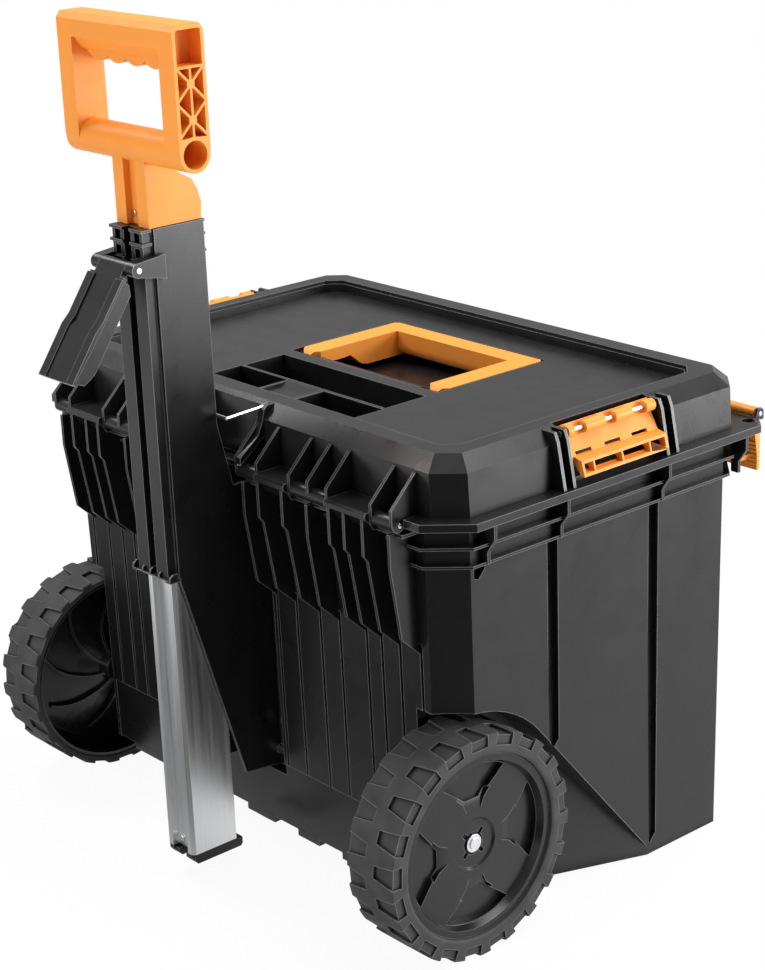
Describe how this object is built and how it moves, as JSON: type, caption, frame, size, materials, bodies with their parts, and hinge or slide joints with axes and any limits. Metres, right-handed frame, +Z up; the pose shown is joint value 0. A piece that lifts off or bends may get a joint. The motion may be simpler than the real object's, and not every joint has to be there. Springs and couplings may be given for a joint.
{
  "type": "rolling modular toolbox",
  "caption": "Deep drafted toolbox with a hinged stacking lid, carry handle, latches, a pair of wheels on an axle and a telescopic trolley handle in a sleeve behind it.",
  "frame": {"origin": "on the floor, below the middle of the box, on the tub's flat underside", "axes": "+X along the wheel axle, +Y to the latch side (the trolley handle is at -Y), +Z up"},
  "size_m": [0.5866, 0.5482, 0.762],
  "materials": {
    "black_plastic": "fine-grained moulded polypropylene",
    "orange_plastic": "satin moulded polypropylene",
    "tyre": "moulded hard rubber",
    "aluminium": "satin anodised extrusion",
    "steel": "bright zinc-plated wire and rod"
  },
  "bodies": {
    "tub": {"tub": "black_plastic", "axle": "steel", "axle_cap_right": "steel", "axle_cap_left": "steel", "guide_sleeve": "black_plastic", "sleeve_screws": "steel", "flap_pin": "steel"},
    "wheel_right": {"wheel_disc_right": "black_plastic", "tyre_right": "tyre"},
    "wheel_left": {"wheel_disc_left": "black_plastic", "tyre_left": "tyre"},
    "flap": {"sleeve_flap": "black_plastic"},
    "trolley": {"trolley_profile": "aluminium", "profile_foot": "black_plastic", "trolley_grip": "orange_plastic", "grip_rivet": "steel", "foot_rivet": "steel"},
    "lid": {"lid": "black_plastic", "wire_hooks": "steel", "hinge_pin_right": "steel", "hinge_pin_left": "steel", "handle_pin_right": "steel", "handle_pin_left": "steel", "end_latch_pin_right": "steel", "end_latch_pin_left": "steel", "front_latch_pin_right": "steel", "front_latch_pin_left": "steel"},
    "carry_handle": {"lid_handle": "orange_plastic"},
    "end_latch_right": {"end_latch_right": "orange_plastic"},
    "end_latch_left": {"end_latch_left": "orange_plastic"},
    "front_latch_right": {"front_latch_right": "orange_plastic"},
    "front_latch_left": {"front_latch_left": "orange_plastic"}
  },
  "joints": [
    {"name": "lid_hinge", "type": "hinge", "parent": "tub", "child": "lid", "pos_m": [0, -0.197, 0.378], "axis": [1, 0, 0], "range_deg": [0, 40]},
    {"name": "wheel_right_spin", "type": "hinge", "parent": "tub", "child": "wheel_right", "pos_m": [0.261, -0.1615, 0.0992], "axis": [1, 0, 0], "continuous": true},
    {"name": "wheel_left_spin", "type": "hinge", "parent": "tub", "child": "wheel_left", "pos_m": [-0.261, -0.1615, 0.0992], "axis": [1, 0, 0], "continuous": true},
    {"name": "trolley_slide", "type": "slide", "parent": "tub", "child": "trolley", "axis": [0, 0, 1], "range_m": [0, 0.26]},
    {"name": "flap_hinge", "type": "hinge", "parent": "tub", "child": "flap", "pos_m": [0, -0.28, 0.565], "axis": [1, 0, 0], "range_deg": [-90, 18]},
    {"name": "handle_hinge", "type": "hinge", "parent": "lid", "child": "carry_handle", "pos_m": [0, -0.014, 0.414], "axis": [1, 0, 0], "range_deg": [0, 90]},
    {"name": "end_latch_right_hinge", "type": "hinge", "parent": "lid", "child": "end_latch_right", "pos_m": [0.2737, 0.006, 0.4255], "axis": [0, -1, 0], "range_deg": [0, 130]},
    {"name": "end_latch_left_hinge", "type": "hinge", "parent": "lid", "child": "end_latch_left", "pos_m": [-0.2737, 0.006, 0.4255], "axis": [0, 1, 0], "range_deg": [0, 130]},
    {"name": "front_latch_right_hinge", "type": "hinge", "parent": "lid", "child": "front_latch_right", "pos_m": [0.23, 0.1945, 0.385], "axis": [1, 0, 0], "range_deg": [0, 110]},
    {"name": "front_latch_left_hinge", "type": "hinge", "parent": "lid", "child": "front_latch_left", "pos_m": [-0.23, 0.1945, 0.385], "axis": [1, 0, 0], "range_deg": [0, 110]}
  ]
}
